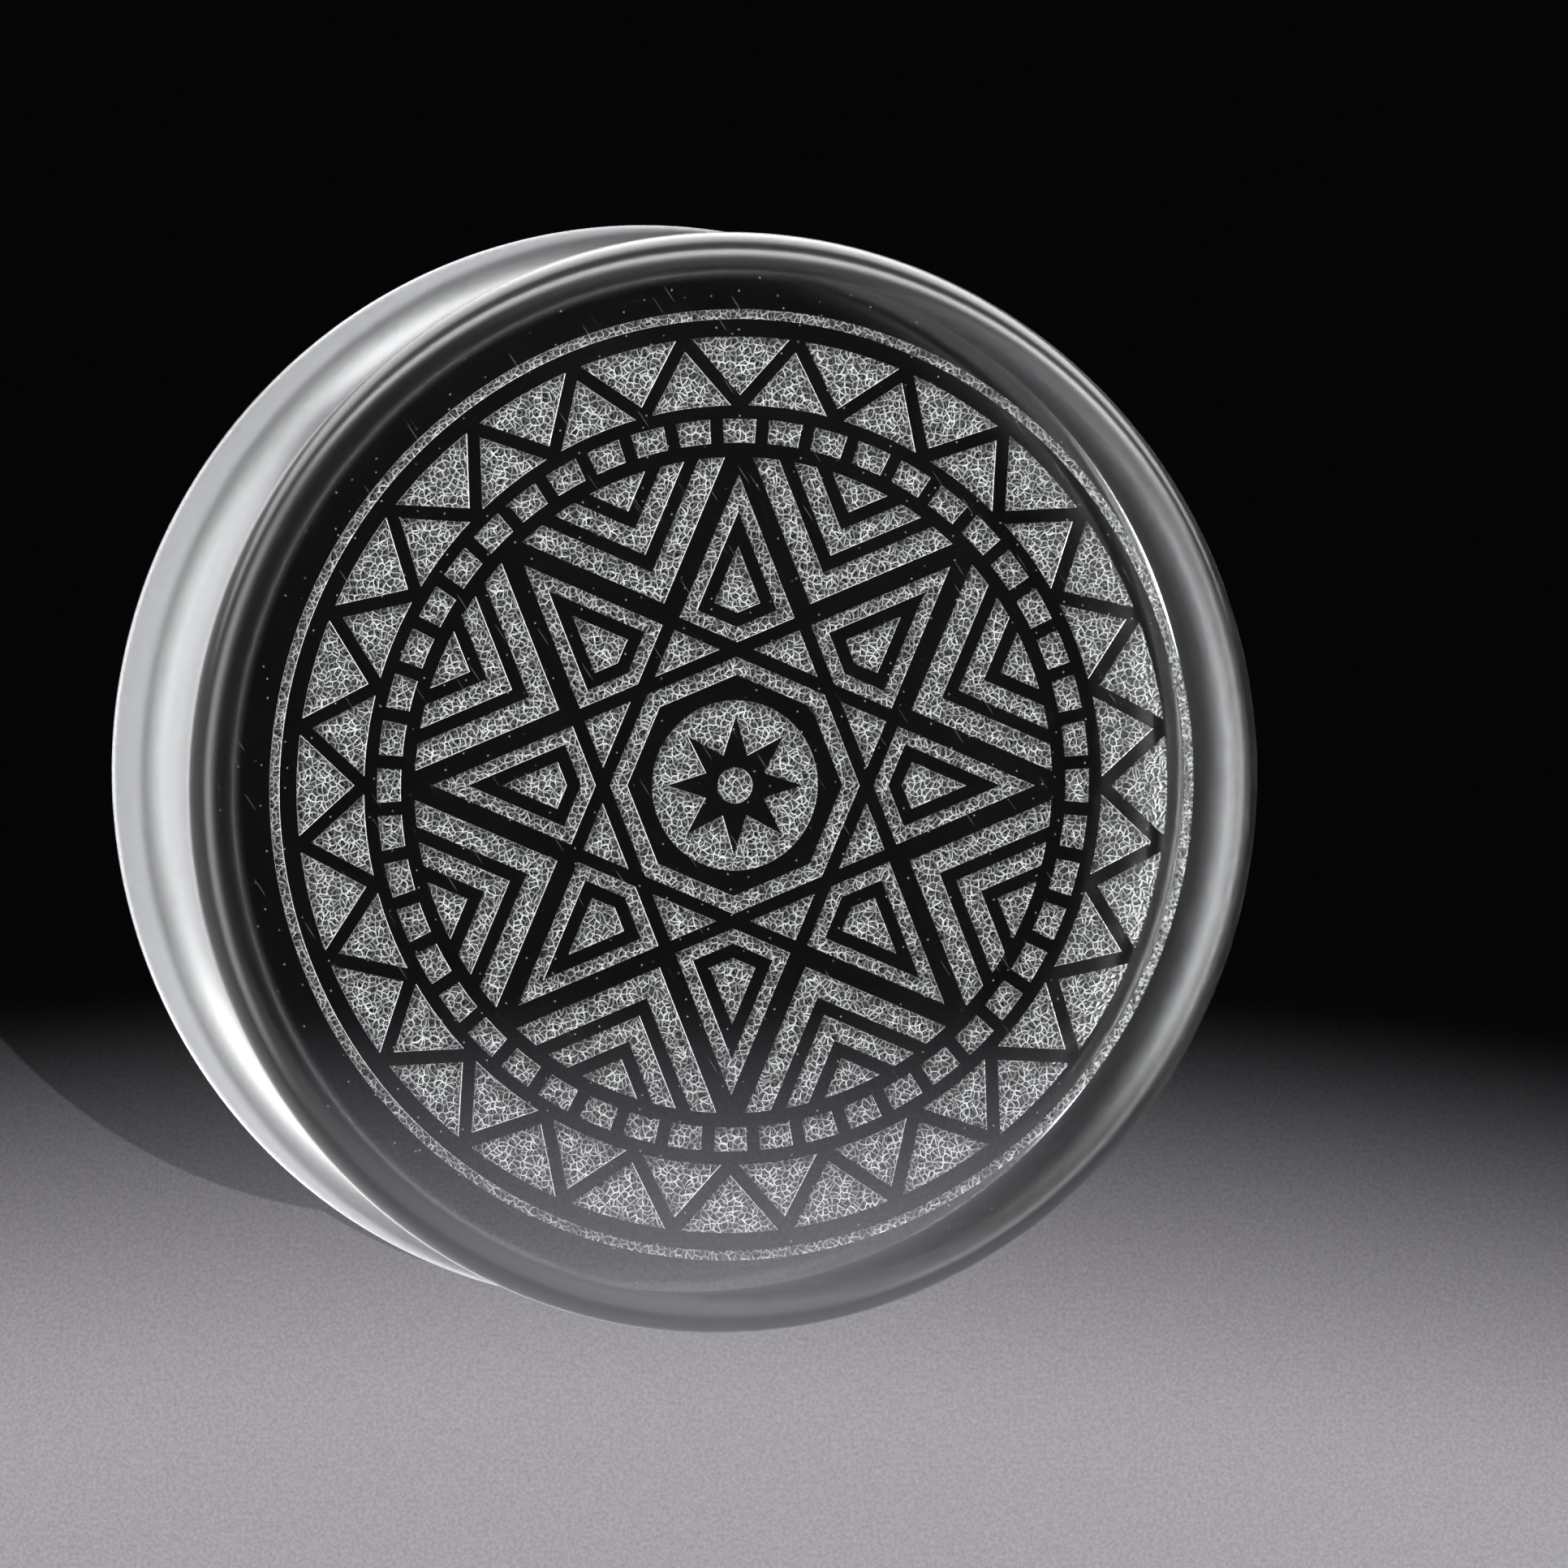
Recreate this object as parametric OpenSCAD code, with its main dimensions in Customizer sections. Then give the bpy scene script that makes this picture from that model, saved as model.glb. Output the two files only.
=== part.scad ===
// Double flare ear plug: one piece of clear glass with a saddle between two equal round flares.
// It lies on its plain end face. The other end face carries a shallow frosted star design.
// The axis is Z, and the origin is the middle of the face that it rests on.

/* [Plug] */
// Diameter of the wearable waist between the flares
gauge_d = 32; // [30:0.5:32.6]
// Diameter over each flare
flare_d = 34; // [33.6:0.1:36]
// Length from end face to end face
length = 13.3; // [11:0.1:16]
// Radius of the rounded lip of each flare
lip_r = 1.2; // [0.8:0.05:1.5]

/* [Engraving] */
// Depth of the frosted recesses
engrave_depth = 0.12; // [0.08:0.01:0.3]
// Width of the clear lines between frosted fields
clear_w = 0.42; // [0.3:0.02:0.6]
// Width of the thin frosted outlines
outline_w = 0.3; // [0.2:0.02:0.4]
// Outer radius of the rim line around the design
rim_line_r = 14.65; // [14.2:0.05:14.8]
// Outer radius of the band of triangles
band_outer_r = 13.8; // [13.6:0.05:13.9]
// Inner radius of the band of triangles
band_inner_r = 11.7; // [11.6:0.05:12]
// Outer radius of the ladder ring
ladder_outer_r = 11.28; // [11.1:0.02:11.3]
// Inner radius of the ladder ring
ladder_inner_r = 10.55; // [10.5:0.05:10.7]
// Radius of the circle that holds the star
star_r = 10.1; // [9.8:0.05:10.15]

/* [Hidden] */
$fn = 96;

flare_r = flare_d / 2;
waist_r = gauge_d / 2;
mid_z = length / 2;

// Side profile: a lip arc at each flare and one saddle arc that is tangent to both
lip_x = flare_r - lip_r;
lip_to_waist = lip_x - waist_r;
lip_to_mid = mid_z - lip_r;
saddle_r = (lip_to_waist * lip_to_waist + lip_to_mid * lip_to_mid - lip_r * lip_r) / (2 * (flare_r - waist_r));
saddle_x = waist_r + saddle_r;
join_share = lip_r / (lip_r + saddle_r);
join_x = lip_x + (saddle_x - lip_x) * join_share;
join_z = lip_r + lip_to_mid * join_share;

// Eight-pointed star drawn by joining every third corner of an octagon
points = 8;
step_a = 360 / points;
core_apothem = star_r * cos(1.5 * step_a);
core_corner_r = core_apothem / cos(step_a / 2);
valley_r = core_apothem / cos(step_a);
core_half_side = core_apothem * tan(step_a / 2);

// Band, ladder and medallion
teeth = 24;
rungs = 48;
chevron_w = [0.72, 0.6];
ring_w = 0.5;
disc_r = 2.62;
disc_star_tip_r = 2.15;
disc_star_valley_r = 1.0;
boss_r = 0.55;
kite_rim_w = 0.42;

function polar(r, a) = [r * cos(a), r * sin(a)];
function unit(v) = v / norm(v);
function cross_z(a, b) = a.x * b.y - a.y * b.x;

// A convex outline, counterclockwise, with every side moved inwards by d
function inset(p, d) = [
    for (i = [0 : len(p) - 1])
        let (
            u = unit(p[i] - p[(i + len(p) - 1) % len(p)]),
            v = unit(p[(i + 1) % len(p)] - p[i])
        )
        p[i] + d * (v - u) / cross_z(u, v)
];

module around(n, start = 0) {
    for (i = [0 : n - 1]) rotate(start + i * 360 / n) children();
}

module ring(outer, inner) {
    difference() {
        circle(outer);
        circle(inner);
    }
}

// A straight strip of width w from point a to point b
module strip(a, b, w) {
    side = [-(b - a).y, (b - a).x] / norm(b - a) * w / 2;
    polygon([a - side, b - side, b + side, a + side]);
}

module triangle_band() {
    half_tooth = 180 / teeth;
    past = 0.6;
    difference() {
        ring(band_outer_r, band_inner_r);
        around(teeth) {
            inner = polar(band_inner_r, 0);
            for (s = [-1, 1]) {
                outer = polar(band_outer_r, s * half_tooth);
                reach = unit(outer - inner) * past;
                strip(inner - reach, outer + reach, clear_w);
            }
        }
    }
}

module ladder_ring() {
    difference() {
        ring(ladder_outer_r, ladder_inner_r);
        around(rungs, 180 / rungs) strip([ladder_inner_r - 1, 0], [ladder_outer_r + 1, 0], clear_w);
    }
}

// Point of the star: a thin rim round a frosted kite
module star_point() {
    kite = [
        [core_corner_r, 0],
        polar(valley_r, -step_a / 2),
        [star_r, 0],
        polar(valley_r, step_a / 2)
    ];
    difference() {
        polygon(inset(kite, clear_w / 2));
        polygon(inset(kite, clear_w / 2 + kite_rim_w));
    }
    polygon(inset(kite, 1.5 * clear_w + kite_rim_w));
}

// Triangle between two star points, on one side of the core octagon
module star_triangle() {
    polygon(inset([
        [core_apothem, -core_half_side],
        [valley_r, 0],
        [core_apothem, core_half_side]
    ], clear_w / 2));
}

// One wedge between two star points, its sides d inside the star's own lines
module wedge(d) {
    tip = valley_r + d / sin(step_a);
    polygon([[tip, 0], [tip + star_r, -star_r], [tip + star_r, star_r]]);
}

// Nested chevrons that fill the space between two star points
module chevrons() {
    starts = [clear_w, 2 * clear_w + chevron_w[0], 3 * clear_w + chevron_w[0] + chevron_w[1]];
    intersection() {
        circle(star_r);
        union() {
            for (i = [0 : len(chevron_w) - 1]) {
                difference() {
                    wedge(starts[i]);
                    wedge(starts[i] + chevron_w[i]);
                }
            }
            wedge(starts[len(chevron_w)]);
        }
    }
}

module small_star(tip, valley) {
    polygon([
        for (i = [0 : 2 * points - 1])
            polar(i % 2 == 0 ? tip : valley, i * step_a / 2)
    ]);
}

module medallion() {
    core = [for (i = [0 : points - 1]) polar(core_corner_r, i * step_a)];
    difference() {
        polygon(inset(core, clear_w / 2));
        polygon(inset(core, clear_w / 2 + ring_w));
    }
    difference() {
        circle(disc_r);
        small_star(disc_star_tip_r, disc_star_valley_r);
    }
    circle(boss_r);
}

module design() {
    ring(rim_line_r, rim_line_r - outline_w);
    triangle_band();
    ladder_ring();
    around(points) star_point();
    around(points, step_a / 2) star_triangle();
    around(points, step_a / 2) chevrons();
    medallion();
}

module side_profile() {
    difference() {
        union() {
            polygon([
                [0, 0],
                [lip_x, 0],
                [lip_x, lip_r],
                [join_x, join_z],
                [join_x, length - join_z],
                [lip_x, length - lip_r],
                [lip_x, length],
                [0, length]
            ]);
            for (z = [lip_r, length - lip_r]) translate([lip_x, z]) circle(lip_r);
        }
        translate([saddle_x, mid_z]) circle(saddle_r);
    }
}

module glass_plug() {
    color([0.88, 0.91, 0.93, 0.45])
    difference() {
        rotate_extrude() side_profile();
        translate([0, 0, length - engrave_depth]) linear_extrude(engrave_depth + 1) design();
    }
}

glass_plug();
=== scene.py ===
# Looks of the double flare ear plug: clear glass with a frosted star design, lying on its plain end face
import math

import bpy
from mathutils import Matrix, Vector
from mathutils.geometry import delaunay_2d_cdt


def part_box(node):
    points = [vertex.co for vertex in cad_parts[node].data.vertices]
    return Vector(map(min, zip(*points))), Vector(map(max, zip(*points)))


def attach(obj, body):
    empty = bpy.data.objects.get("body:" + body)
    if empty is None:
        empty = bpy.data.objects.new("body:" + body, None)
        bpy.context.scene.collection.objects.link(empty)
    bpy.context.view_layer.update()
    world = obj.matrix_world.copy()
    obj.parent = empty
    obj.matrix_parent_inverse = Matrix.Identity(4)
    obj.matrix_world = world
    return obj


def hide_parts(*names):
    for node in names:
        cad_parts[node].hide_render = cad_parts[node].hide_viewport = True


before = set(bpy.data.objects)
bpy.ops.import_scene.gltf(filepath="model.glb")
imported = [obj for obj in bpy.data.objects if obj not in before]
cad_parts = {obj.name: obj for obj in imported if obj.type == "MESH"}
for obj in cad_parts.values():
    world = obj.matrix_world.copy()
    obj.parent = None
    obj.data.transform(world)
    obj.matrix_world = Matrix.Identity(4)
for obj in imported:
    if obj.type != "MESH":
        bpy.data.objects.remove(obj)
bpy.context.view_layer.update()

# The drawing is in millimetres, and Blender's objects are in metres
MM = 0.001

# Body, from the frame: the flares stay just inside the box all round
LOW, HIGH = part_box("glass_plug")
LENGTH = (HIGH[2] - LOW[2]) / MM
FLARE_R = min(-LOW[0], -LOW[1], HIGH[0], HIGH[1]) / MM
WAIST_R = 16.0
LIP_R = 1.2
LIP_X = FLARE_R - LIP_R
TURN_STEPS = 512
LIP_STEPS = 16
SADDLE_STEPS = 28

# Engraved design, as in the part's source
ENGRAVE_DEPTH = 0.12
CLEAR_W = 0.42
OUTLINE_W = 0.3
RIM_LINE_R = 14.65
BAND_OUTER_R = 13.8
BAND_INNER_R = 11.7
TEETH = 24
LADDER_OUTER_R = 11.28
LADDER_INNER_R = 10.55
RUNGS = 48
STAR_R = 10.1
POINTS = 8
KITE_RIM_W = 0.42
CHEVRON_W = (0.72, 0.6)
RING_W = 0.5
DISC_R = 2.62
DISC_STAR_TIP_R = 2.15
DISC_STAR_VALLEY_R = 1.0
BOSS_R = 0.55
STEP_A = math.tau / POINTS
CORE_APOTHEM = STAR_R * math.cos(1.5 * STEP_A)
CORE_CORNER_R = CORE_APOTHEM / math.cos(STEP_A / 2)
VALLEY_R = CORE_APOTHEM / math.cos(STEP_A)
CORE_HALF_SIDE = CORE_APOTHEM * math.tan(STEP_A / 2)

# Glass, with the sizes in metres of the cells that may hold a dust speck or a hairline scratch
IOR = 1.5
DUST_CELL = (0.0007, 0.0007, 0.0007)
DUST_STRENGTH = 0.16
HAIRLINE_CELL = (0.00008, 0.002, 0.002)
HAIRLINE_STRENGTH = 0.06

# Layers of the network of fracture lines: cells to the metre, half width of a line in cells, whiteness
FRACTURES = ((5200, 0.16, 1.0), (9000, 0.13, 0.55))

# Camera, from the middle of the engraved flare's widest circle, its offset in flare radii
FRAME_PIXELS = 1932
LENS_PIXELS = 20000
SENSOR_MM = 36.0
CAMERA_OFFSET = (-7.2012, 1.4936, 28.5171)
CAMERA_RIGHT = (0.96876, 0.01298, 0.24767)
CAMERA_UP = (0.0, 0.99863, -0.05234)

# Lights, in metres
SOFTBOX_DISTANCE = 0.35
LOW_CARD_SIZE = (0.26, 0.12)
LOW_CARD_PLACE = (0.01, 0.083, 0.0005)
POOL_RADIUS = 0.23
POOL_EDGE_Y = -0.0125
POOL_HEIGHT = 1.0
GLOW_SIZE = 0.05
GLOW_HEIGHT = 0.1

# Discs that bound the glow under the left rim: the middle, where its soft edge starts and ends, and
# whether the glow lies outside it
GLOW_DISCS = (
    ((0, 0), 0.0158, 0.0164, False),
    ((0.0022, -0.00045), 0.0160, 0.0165, True),
)


def polar(r, a):
    return (r * math.cos(a), r * math.sin(a))


def arc(r, start, end):
    """Points along a circle about the axis, both ends included."""
    steps = max(1, math.ceil(abs(end - start) * TURN_STEPS / math.tau))
    return [polar(r, start + (end - start) * i / steps) for i in range(steps + 1)]


def circle(r):
    return [polar(r, math.tau * i / TURN_STEPS) for i in range(TURN_STEPS)]


def turned(loop, a):
    c, s = math.cos(a), math.sin(a)
    return [(x * c - y * s, x * s + y * c) for x, y in loop]


def inset(loop, d):
    """A convex counterclockwise loop with every side moved inwards by d."""
    points = [Vector(p) for p in loop]
    moved = []
    for i, p in enumerate(points):
        u = (p - points[i - 1]).normalized()
        v = (points[(i + 1) % len(points)] - p).normalized()
        moved.append(tuple(p + d * (v - u) / u.cross(v)))
    return moved


def tooth(tip_r, base_r):
    """A triangle of the band, about +X: its tip at tip_r, its base an arc at base_r."""
    tip = Vector((tip_r, 0))
    along = (Vector(polar(base_r, math.pi / TEETH)) - tip).normalized()
    x = tip_r + math.copysign(CLEAR_W / 2 / along.y, along.x)
    reach = -x * along.x + math.copysign(math.sqrt((x * along.x) ** 2 - x * x + base_r ** 2), along.x)
    half = math.atan2(reach * along.y, x + reach * along.x)
    return [(x, 0)] + arc(base_r, -half, half)


def ladder_field():
    """One field of the ladder ring, from the rung at +X to the next."""
    pitch = math.tau / RUNGS
    outer = math.asin(CLEAR_W / 2 / LADDER_OUTER_R)
    inner = math.asin(CLEAR_W / 2 / LADDER_INNER_R)
    return arc(LADDER_OUTER_R, outer, pitch - outer) + arc(LADDER_INNER_R, pitch - inner, inner)


def wedge(d):
    """Tip of a wedge with its sides d inside the star's lines, and its half angle on the star's circle."""
    tip = VALLEY_R + d / math.sin(STEP_A)
    side = (math.sqrt(2 * STAR_R ** 2 - tip ** 2) - tip) / 2
    return tip, math.atan2(side, tip + side)


def chevrons():
    """Nested chevrons between two star points, about +X."""
    loops = []
    d = CLEAR_W
    for width in CHEVRON_W:
        (tip, half), (inner_tip, inner_half) = wedge(d), wedge(d + width)
        loops.append(
            [(tip, 0)] + arc(STAR_R, -half, -inner_half) + [(inner_tip, 0)] + arc(STAR_R, inner_half, half)
        )
        d += width + CLEAR_W
    tip, half = wedge(d)
    loops.append([(tip, 0)] + arc(STAR_R, -half, half))
    return loops


def star_point():
    kite = [(CORE_CORNER_R, 0), polar(VALLEY_R, -STEP_A / 2), (STAR_R, 0), polar(VALLEY_R, STEP_A / 2)]
    edges = (CLEAR_W / 2, CLEAR_W / 2 + KITE_RIM_W, 1.5 * CLEAR_W + KITE_RIM_W)
    return [inset(kite, d) for d in edges]


def medallion():
    core = [polar(CORE_CORNER_R, i * STEP_A) for i in range(POINTS)]
    radii = (DISC_STAR_TIP_R, DISC_STAR_VALLEY_R) * POINTS
    star = [polar(r, i * STEP_A / 2) for i, r in enumerate(radii)]
    return [inset(core, CLEAR_W / 2), inset(core, CLEAR_W / 2 + RING_W), circle(DISC_R), star, circle(BOSS_R)]


def design():
    """Loops of the design: what lies inside an odd number of them is frosted."""
    loops = [circle(RIM_LINE_R), circle(RIM_LINE_R - OUTLINE_W)]
    for i in range(TEETH):
        a = math.tau * i / TEETH
        loops.append(turned(tooth(BAND_INNER_R, BAND_OUTER_R), a))
        loops.append(turned(tooth(BAND_OUTER_R, BAND_INNER_R), a + math.pi / TEETH))
    for i in range(RUNGS):
        loops.append(turned(ladder_field(), math.tau * (i + 0.5) / RUNGS))
    triangle = inset(
        [(CORE_APOTHEM, -CORE_HALF_SIDE), (VALLEY_R, 0), (CORE_APOTHEM, CORE_HALF_SIDE)], CLEAR_W / 2
    )
    for i in range(POINTS):
        loops += [turned(loop, i * STEP_A) for loop in star_point()]
        loops += [turned(loop, (i + 0.5) * STEP_A) for loop in [triangle] + chevrons()]
    return loops + medallion()


def side_profile():
    """Radius, height and outward normal down the side, from the engraved face to the plain one."""
    to_waist, to_mid = LIP_X - WAIST_R, LENGTH / 2 - LIP_R
    saddle_r = (to_waist ** 2 + to_mid ** 2 - LIP_R ** 2) / (2 * (FLARE_R - WAIST_R))
    slope = math.asin(to_mid / (LIP_R + saddle_r))
    rows = []
    for i in range(LIP_STEPS + 1):
        a = math.pi / 2 - (math.pi / 2 + slope) * i / LIP_STEPS
        x, z = LIP_X + LIP_R * math.cos(a), LENGTH - LIP_R + LIP_R * math.sin(a)
        rows.append((x, z, math.cos(a), math.sin(a)))
    for i in range(1, SADDLE_STEPS):
        a = slope - 2 * slope * i / SADDLE_STEPS
        x, z = WAIST_R + saddle_r * (1 - math.cos(a)), LENGTH / 2 + saddle_r * math.sin(a)
        rows.append((x, z, math.cos(a), -math.sin(a)))
    for r, z, across, up in reversed(rows[: LIP_STEPS + 1]):
        rows.append((r, LENGTH - z, across, -up))
    return rows


class Builder:
    """Collects points, faces, their materials and their corner normals."""

    def __init__(self):
        self.points, self.faces, self.slots, self.normals = [], [], [], []

    def point(self, x, y, z):
        self.points.append((x * MM, y * MM, z * MM))
        return len(self.points) - 1

    def face(self, corners, slot, normals):
        self.faces.append(corners)
        self.slots.append(slot)
        self.normals += normals

    def mesh(self, name, materials):
        mesh = bpy.data.meshes.new(name)
        mesh.from_pydata(self.points, [], self.faces)
        for material in materials:
            mesh.materials.append(material)
        mesh.polygons.foreach_set("material_index", self.slots)
        mesh.polygons.foreach_set("use_smooth", [True] * len(self.faces))
        mesh.validate()
        mesh.normals_split_custom_set(self.normals)
        mesh.update()
        return mesh


POLISHED, FROSTED, BASE, LIP, SADDLE = range(5)
UP, DOWN = (0, 0, 1), (0, 0, -1)


def engraved_face(build):
    """The top face with its sunk fields. Gives back the points of its outer circle."""
    loops = [circle(LIP_X)] + design()
    flat, spans = [], []
    for loop in loops:
        spans.append(list(range(len(flat), len(flat) + len(loop))))
        flat += [Vector(p) for p in loop]
    points, _, faces, from_point, _, in_loops = delaunay_2d_cdt(flat, [], spans, 1, 1e-5, True)
    top = [build.point(p.x, p.y, LENGTH) for p in points]
    sunk = {}

    def low(i):
        if i not in sunk:
            sunk[i] = build.point(points[i].x, points[i].y, LENGTH - ENGRAVE_DEPTH)
        return sunk[i]

    open_sides = {}
    for face, within in zip(faces, in_loops):
        frosted = len(within) % 2 == 0
        corners = [low(i) if frosted else top[i] for i in face]
        build.face(corners, FROSTED if frosted else POLISHED, [UP] * len(face))
        for a, b in zip(face, face[1:] + face[:1]):
            open_sides[(a, b)] = frosted
    for (a, b), frosted in open_sides.items():
        if not frosted and open_sides.get((b, a)):
            along = points[b] - points[a]
            out = Vector((along.y, -along.x)).normalized()
            normals = [(out.x, out.y, 0)] * 4
            build.face([top[b], top[a], low(a), low(b)], FROSTED, normals)
    made_from = {source: i for i, sources in enumerate(from_point) for source in sources}
    return [top[made_from[i]] for i in range(TURN_STEPS)]


def turned_side(build, first_ring):
    """The lips and the saddle, down to the ring of the plain face, which it gives back."""
    rows = side_profile()
    turns = [polar(1, math.tau * i / TURN_STEPS) for i in range(TURN_STEPS)]
    ring = first_ring
    for row, ((_, _, across, up), (r, z, next_across, next_up)) in enumerate(zip(rows, rows[1:])):
        slot = LIP if min(row, len(rows) - 2 - row) < LIP_STEPS else SADDLE
        lower = [build.point(r * c, r * s, z) for c, s in turns]
        for i in range(TURN_STEPS):
            j = (i + 1) % TURN_STEPS
            (ci, si), (cj, sj) = turns[i], turns[j]
            normals = [
                (across * ci, across * si, up),
                (next_across * ci, next_across * si, next_up),
                (next_across * cj, next_across * sj, next_up),
                (across * cj, across * sj, up),
            ]
            build.face([ring[i], lower[i], lower[j], ring[j]], slot, normals)
        ring = lower
    return ring


def node_tree(name):
    material = bpy.data.materials.new(name)
    material.use_nodes = True
    nodes = material.node_tree.nodes
    return material, nodes, material.node_tree.links, nodes["Principled BSDF"]


def ramp(nodes, links, source, low, high, to_low, to_high):
    """A value that goes from to_low to to_high as the source goes from low to high."""
    node = nodes.new("ShaderNodeMapRange")
    node.interpolation_type = "SMOOTHSTEP"
    for name, value in zip(("From Min", "From Max", "To Min", "To Max"), (low, high, to_low, to_high)):
        node.inputs[name].default_value = value
    links.new(source, node.inputs["Value"])
    return node.outputs["Result"]


def math_node(nodes, links, operation, *sources):
    node = nodes.new("ShaderNodeMath")
    node.operation = operation
    for i, source in enumerate(sources):
        if isinstance(source, (int, float)):
            node.inputs[i].default_value = source
        else:
            links.new(source, node.inputs[i])
    return node.outputs[0]


def marks(nodes, links, place, dimensions, size, angle, reach, share):
    """One where a random share of cells has a mark in its middle, and nought elsewhere."""
    turn = nodes.new("ShaderNodeMapping")
    turn.vector_type = "TEXTURE"
    turn.inputs["Rotation"].default_value = (0, 0, angle)
    turn.inputs["Scale"].default_value = size
    links.new(place, turn.inputs["Vector"])
    cells = nodes.new("ShaderNodeTexVoronoi")
    cells.voronoi_dimensions = dimensions
    cells.inputs["Scale"].default_value = 1.0
    links.new(turn.outputs["Vector"], cells.inputs["Vector"])
    near = ramp(nodes, links, cells.outputs["Distance"], reach * 0.5, reach, 1, 0)
    tone = nodes.new("ShaderNodeSeparateColor")
    links.new(cells.outputs["Color"], tone.inputs["Color"])
    chosen = ramp(nodes, links, tone.outputs["Red"], 1 - share, 1, 0, 1)
    return math_node(nodes, links, "MULTIPLY", near, chosen)


def clear_glass(name, roughness, dimensions="3D"):
    """Clear glass with dust specks and a few hairline scratches, in cells of two or three dimensions."""
    material, nodes, links, shader = node_tree(name)
    shader.inputs["Base Color"].default_value = (0.95, 0.97, 1.0, 1)
    shader.inputs["Roughness"].default_value = roughness
    shader.inputs["IOR"].default_value = IOR
    place = nodes.new("ShaderNodeTexCoord").outputs["Object"]
    specks = marks(nodes, links, place, dimensions, DUST_CELL, 0, 0.055, 0.8)
    hairlines = marks(nodes, links, place, dimensions, HAIRLINE_CELL, 0.6, 0.2, 0.05)
    dust = math_node(nodes, links, "MULTIPLY", specks, DUST_STRENGTH)
    scratches = math_node(nodes, links, "MULTIPLY", hairlines, HAIRLINE_STRENGTH)
    total = math_node(nodes, links, "MAXIMUM", dust, scratches)
    links.new(math_node(nodes, links, "SUBTRACT", 1.0, total), shader.inputs["Transmission Weight"])
    return material


def frosted_glass():
    """Engraved glass: a white network of fine fracture lines over dull clear cells."""
    material, nodes, links, shader = node_tree("frosted_glass")
    place = nodes.new("ShaderNodeTexCoord").outputs["Object"]
    wobble = nodes.new("ShaderNodeTexNoise")
    wobble.noise_dimensions = "2D"
    wobble.inputs["Scale"].default_value = 3500
    wobble.inputs["Detail"].default_value = 0
    links.new(place, wobble.inputs["Vector"])
    bend = nodes.new("ShaderNodeVectorMath")
    bend.operation = "MULTIPLY_ADD"
    bend.inputs[1].default_value = (0.00016, 0.00016, 0.00016)
    links.new(wobble.outputs["Color"], bend.inputs[0])
    links.new(place, bend.inputs[2])
    bent = bend.outputs[0]
    lines, heights = [], []
    for scale, width, white in FRACTURES:
        cells = nodes.new("ShaderNodeTexVoronoi")
        cells.voronoi_dimensions = "2D"
        cells.feature = "DISTANCE_TO_EDGE"
        cells.inputs["Scale"].default_value = scale
        links.new(bent, cells.inputs["Vector"])
        lines.append(ramp(nodes, links, cells.outputs["Distance"], 0.01, width, white, 0))
        heights.append(cells.outputs["Distance"])
    network = math_node(nodes, links, "MAXIMUM", *lines)
    patches = nodes.new("ShaderNodeTexNoise")
    patches.noise_dimensions = "2D"
    patches.inputs["Scale"].default_value = 2600
    links.new(place, patches.inputs["Vector"])
    strength = ramp(nodes, links, patches.outputs["Fac"], 0.3, 0.7, 0.45, 1.0)
    white = math_node(nodes, links, "MULTIPLY", network, strength)
    clear = ramp(nodes, links, white, 0, 1, 1.0, 0.3)
    links.new(clear, shader.inputs["Transmission Weight"])
    bump = nodes.new("ShaderNodeBump")
    bump.inputs["Strength"].default_value = 1.0
    bump.inputs["Distance"].default_value = 0.00004
    links.new(heights[0], bump.inputs["Height"])
    links.new(bump.outputs["Normal"], shader.inputs["Normal"])
    shader.inputs["Base Color"].default_value = (0.76, 0.78, 0.79, 1)
    shader.inputs["Roughness"].default_value = 0.25
    shader.inputs["IOR"].default_value = IOR
    return material


def plug():
    build = Builder()
    first_ring = engraved_face(build)
    last_ring = turned_side(build, first_ring)
    build.face(last_ring[::-1], BASE, [DOWN] * TURN_STEPS)
    materials = [
        clear_glass("polished_glass", 0.0, "2D"),
        frosted_glass(),
        clear_glass("worn_base_glass", 0.13),
        clear_glass("soft_lip_glass", 0.22),
        clear_glass("soft_saddle_glass", 0.22),
    ]
    piece = bpy.data.objects.new("engraved_plug", build.mesh("engraved_plug", materials))
    bpy.context.scene.collection.objects.link(piece)
    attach(piece, "root")
    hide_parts("glass_plug")
    return piece


def camera():
    data = bpy.data.cameras.new("camera")
    data.sensor_width = SENSOR_MM
    data.lens = LENS_PIXELS / FRAME_PIXELS * SENSOR_MM
    data.clip_start = 0.01
    data.clip_end = 20
    item = bpy.data.objects.new("camera", data)
    centre = Vector((0, 0, LENGTH - LIP_R))
    back = Vector(CAMERA_RIGHT).cross(Vector(CAMERA_UP))
    item.matrix_world = Matrix((
        (CAMERA_RIGHT[0], CAMERA_UP[0], back.x, (centre.x + CAMERA_OFFSET[0] * FLARE_R) * MM),
        (CAMERA_RIGHT[1], CAMERA_UP[1], back.y, (centre.y + CAMERA_OFFSET[1] * FLARE_R) * MM),
        (CAMERA_RIGHT[2], CAMERA_UP[2], back.z, (centre.z + CAMERA_OFFSET[2] * FLARE_R) * MM),
        (0, 0, 0, 1),
    ))
    bpy.context.scene.collection.objects.link(item)
    bpy.context.scene.camera = item


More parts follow.
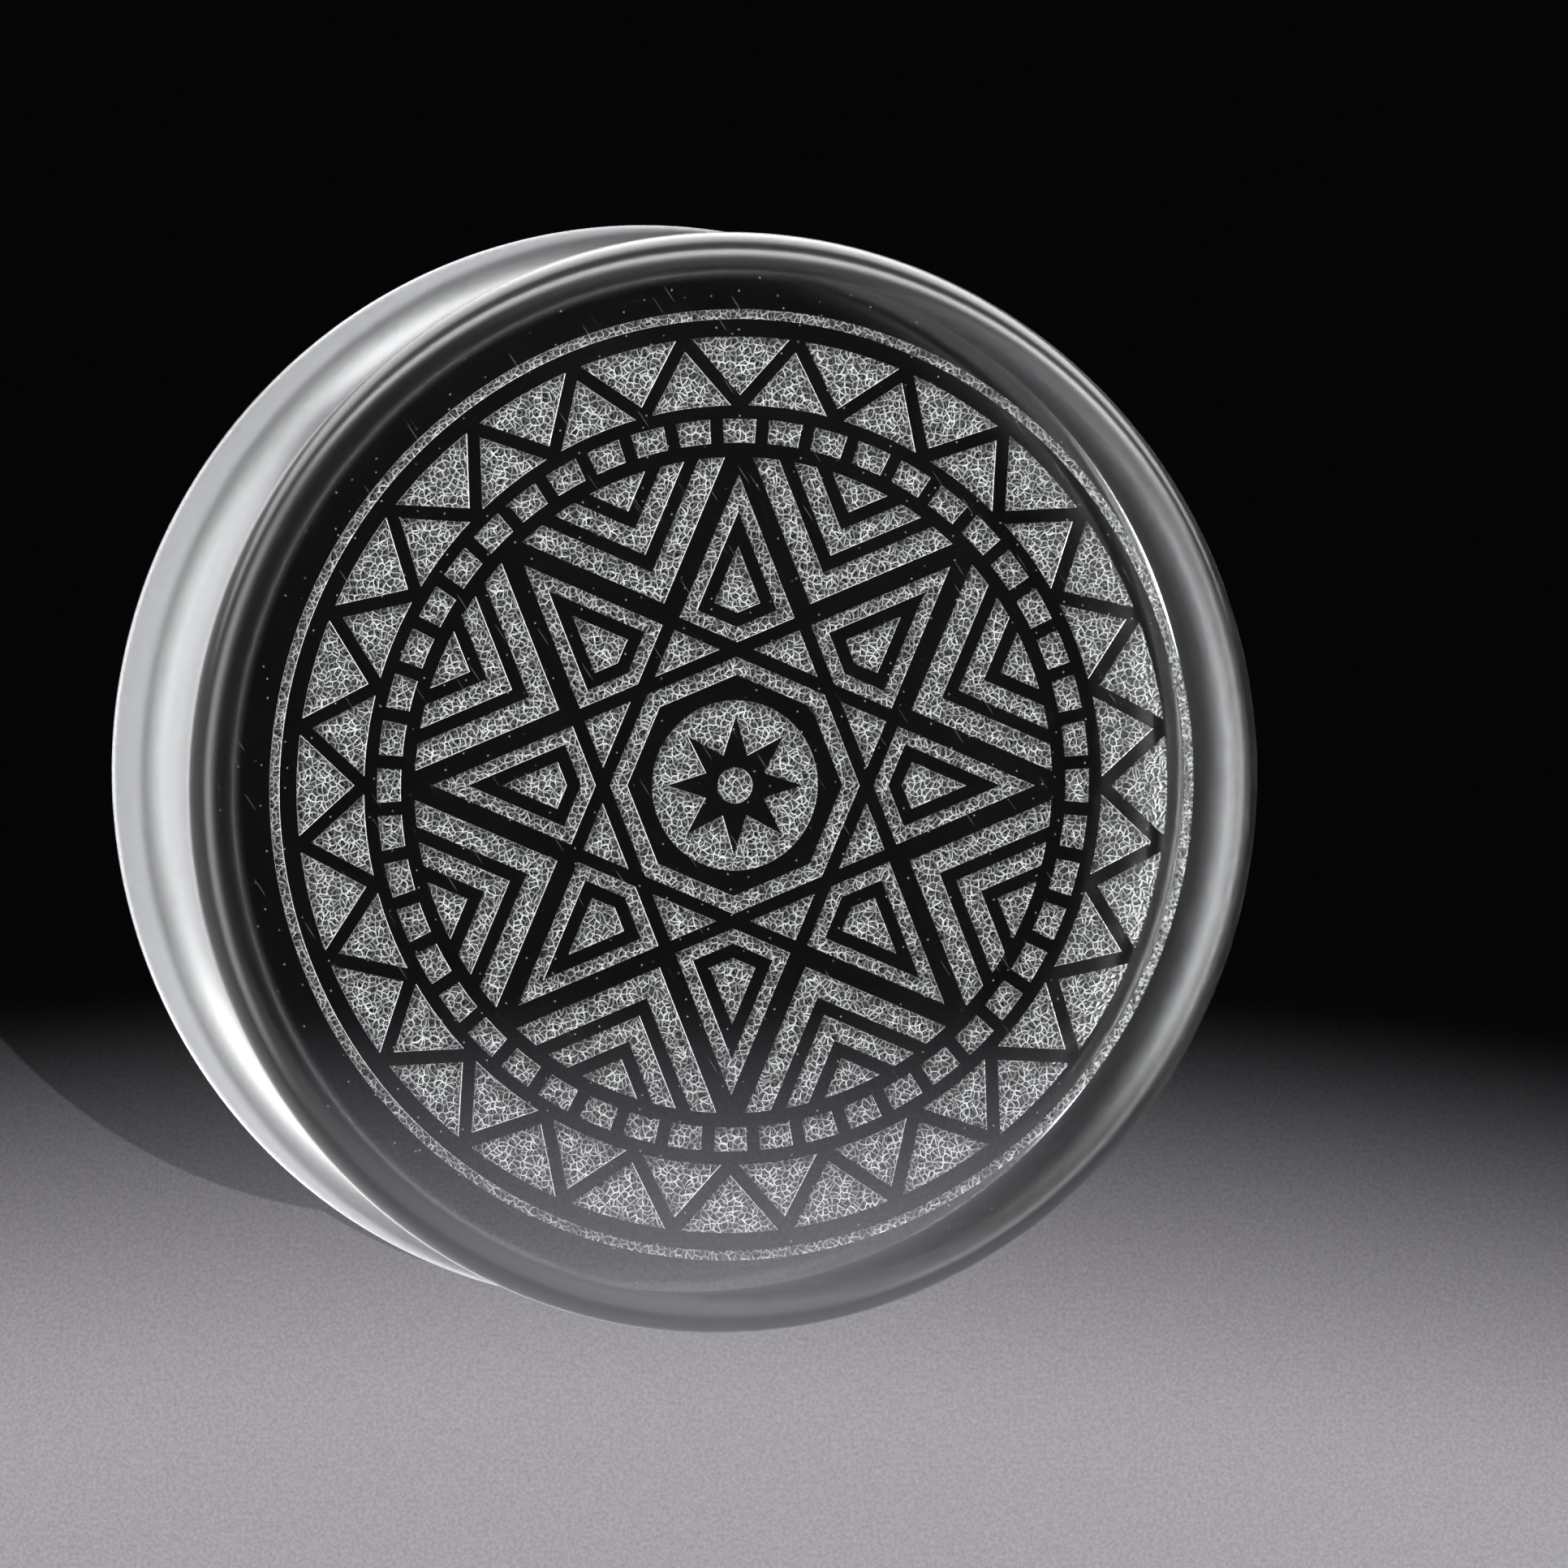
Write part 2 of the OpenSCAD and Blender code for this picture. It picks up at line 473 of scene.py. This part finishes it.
def floor():
    material, nodes, links, shader = node_tree("floor")
    place = nodes.new("ShaderNodeTexCoord").outputs["Object"]
    grain = nodes.new("ShaderNodeTexNoise")
    grain.inputs["Scale"].default_value = 9000
    grain.inputs["Detail"].default_value = 3
    links.new(place, grain.inputs["Vector"])
    shade = nodes.new("ShaderNodeMix")
    shade.data_type = "RGBA"
    shade.inputs["A"].default_value = (0.36, 0.345, 0.375, 1)
    shade.inputs["B"].default_value = (0.74, 0.71, 0.77, 1)
    links.new(grain.outputs["Fac"], shade.inputs["Factor"])
    links.new(shade.outputs["Result"], shader.inputs["Base Color"])
    shader.inputs["Roughness"].default_value = 0.9
    shader.inputs["Specular IOR Level"].default_value = 0.0
    half, drop = 3.0, 0.00002
    corners = [(-half, -half, -drop), (half, -half, -drop), (half, half, -drop), (-half, half, -drop)]
    mesh = bpy.data.meshes.new("floor")
    mesh.from_pydata(corners, [], [(0, 1, 2, 3)])
    mesh.materials.append(material)
    item = bpy.data.objects.new("floor", mesh)
    bpy.context.scene.collection.objects.link(item)
    return item


def aimed(item, place, target=(0, 0, 0)):
    """Puts a light at a place in metres and turns it to its target."""
    item.location = place
    item.rotation_euler = (Vector(place) - Vector(target)).to_track_quat("Z", "Y").to_euler()
    bpy.context.scene.collection.objects.link(item)


def softbox(name, azimuth, elevation, wide, high, radiance, receivers, blockers=None, seen=None):
    """A soft light that faces the plug, its place and size in degrees as the plug sees it.

    Its light passes everything but the blockers, if these are given. One that is seen only mirrored in
    the glass or only through it is brightest low down, and fades towards its upper edge and its sides.
    """
    data = bpy.data.lights.new(name, "AREA")
    data.shape = "RECTANGLE"
    data.size = 2 * SOFTBOX_DISTANCE * math.tan(math.radians(wide / 2))
    data.size_y = 2 * SOFTBOX_DISTANCE * math.tan(math.radians(high / 2))
    data.energy = radiance * math.pi * data.size * data.size_y
    if seen:
        data.use_nodes = True
        nodes, links = data.node_tree.nodes, data.node_tree.links
        across = nodes.new("ShaderNodeSeparateXYZ")
        links.new(nodes.new("ShaderNodeNewGeometry").outputs["Parametric"], across.inputs["Vector"])
        strength = ramp(nodes, links, across.outputs["X"], 0, 0.25, 0, 1)
        for axis, low in (("X", 0.75), ("Y", 0.25)):
            fade = ramp(nodes, links, across.outputs[axis], low, 1, 1, 0)
            strength = math_node(nodes, links, "MULTIPLY", strength, fade)
        links.new(strength, nodes["Emission"].inputs["Strength"])
    a, e = math.radians(azimuth), math.radians(elevation)
    away = Vector((math.cos(e) * math.cos(a), math.cos(e) * math.sin(a), math.sin(e)))
    item = bpy.data.objects.new(name, data)
    aimed(item, away * SOFTBOX_DISTANCE)
    item.visible_camera = False
    item.visible_transmission = seen != "mirrored"
    item.visible_glossy = seen != "through"
    item.light_linking.receiver_collection = receivers
    if blockers:
        item.light_linking.blocker_collection = blockers


def low_card(name, radiance, off_floor):
    """A bright card low behind the plug, seen only mirrored in the glass. It fades away from the plug."""
    data = bpy.data.lights.new(name, "AREA")
    data.shape = "RECTANGLE"
    data.size, data.size_y = LOW_CARD_SIZE
    data.energy = radiance * math.pi * data.size * data.size_y
    data.use_nodes = True
    nodes, links = data.node_tree.nodes, data.node_tree.links
    across = nodes.new("ShaderNodeSeparateXYZ")
    links.new(nodes.new("ShaderNodeNewGeometry").outputs["Parametric"], across.inputs["Vector"])
    fade = ramp(nodes, links, across.outputs["Y"], 0, 1, 0, 1)
    links.new(fade, nodes["Emission"].inputs["Strength"])
    item = bpy.data.objects.new(name, data)
    item.location = LOW_CARD_PLACE
    item.rotation_euler = (math.pi, 0, 0)
    bpy.context.scene.collection.objects.link(item)
    item.visible_camera = False
    item.visible_transmission = False
    item.light_linking.receiver_collection = off_floor


def pool(name, power, sideways, only_floor, blockers=None):
    """A spot over the floor in front of the plug. The soft edge of its pool crosses the floor beneath."""
    centre_y = POOL_EDGE_Y - POOL_RADIUS
    data = bpy.data.lights.new(name, "SPOT")
    data.energy = power
    data.spot_size = 2 * math.atan(POOL_RADIUS / math.hypot(POOL_HEIGHT, sideways))
    data.spot_blend = 0.02
    data.shadow_soft_size = 0.0065
    item = bpy.data.objects.new(name, data)
    aimed(item, (sideways, centre_y, POOL_HEIGHT), (0, centre_y, 0))
    item.light_linking.receiver_collection = only_floor
    if blockers:
        item.light_linking.blocker_collection = blockers


def glow(name, radiance, only_floor, blockers):
    """Light that the plug gathers under its left rim, shone straight down on the floor.

    It is a crescent: the plug's disc, less the part of the floor that shows through the engraved face.
    """
    data = bpy.data.lights.new(name, "AREA")
    data.shape = "SQUARE"
    data.size = GLOW_SIZE
    data.spread = math.radians(0.4)
    data.energy = radiance * math.pi * GLOW_SIZE ** 2
    data.color = (0.96, 1.0, 0.94)
    data.use_nodes = True
    nodes, links = data.node_tree.nodes, data.node_tree.links
    place = nodes.new("ShaderNodeNewGeometry").outputs["Parametric"]
    strength = 1.0
    for middle, start, end, outside in GLOW_DISCS:
        reach = nodes.new("ShaderNodeVectorMath")
        reach.operation = "DISTANCE"
        reach.inputs[1].default_value = (0.5 + middle[0] / GLOW_SIZE, 0.5 + middle[1] / GLOW_SIZE, 0)
        links.new(place, reach.inputs[0])
        low, high = start / GLOW_SIZE, end / GLOW_SIZE
        edge = ramp(nodes, links, reach.outputs["Value"], low, high, 1 - outside, float(outside))
        strength = math_node(nodes, links, "MULTIPLY", strength, edge)
    links.new(strength, nodes["Emission"].inputs["Strength"])
    item = bpy.data.objects.new(name, data)
    item.location = (0, 0, GLOW_HEIGHT)
    bpy.context.scene.collection.objects.link(item)
    item.visible_camera = False
    item.light_linking.receiver_collection = only_floor
    item.light_linking.blocker_collection = blockers


def only_and_without(name, item):
    """Two collections for light linking: only the item, and everything but the item."""
    only = bpy.data.collections.new("only_" + name)
    only.objects.link(item)
    without = bpy.data.collections.new("without_" + name)
    without.objects.link(item)
    without.collection_objects[0].light_linking.link_state = "EXCLUDE"
    return only, without


def lights(piece, ground):
    world = bpy.data.worlds.new("world")
    world.use_nodes = True
    world.node_tree.nodes["Background"].inputs["Color"].default_value = (0.003, 0.003, 0.0035, 1)
    bpy.context.scene.world = world
    only_floor, off_floor = only_and_without("floor", ground)
    through_glass = only_and_without("plug", piece)[1]
    # After the name: azimuth, elevation, width and height in degrees, and radiance
    softbox("right_softbox", 4, 46, 50, 40, 0.6, off_floor, through_glass)
    softbox("upper_right_softbox", 56, 46, 52, 40, 0.75, off_floor, through_glass)
    softbox("lower_right_softbox", -92, 46, 70, 40, 0.95, off_floor, through_glass)
    softbox("left_softbox", 180, 32, 90, 26, 12, off_floor, seen="through")
    softbox("top_rim_softbox", 80, 34, 120, 24, 14, off_floor, seen="mirrored")
    softbox("right_rim_softbox", -5, 36, 110, 22, 4.5, off_floor, seen="mirrored")
    low_card("low_card", 6, off_floor)
    # After the name: power, and how far to the side the lamp stands, in metres
    pool("floor_pool", 14, 0.6, only_floor)
    pool("floor_pool_through_glass", 20, 0, only_floor, through_glass)
    glow("rim_glow", 0.9, only_floor, through_glass)
    piece.visible_diffuse = False


piece = plug()
camera()
lights(piece, floor())
bpy.context.scene.view_settings.view_transform = "Standard"
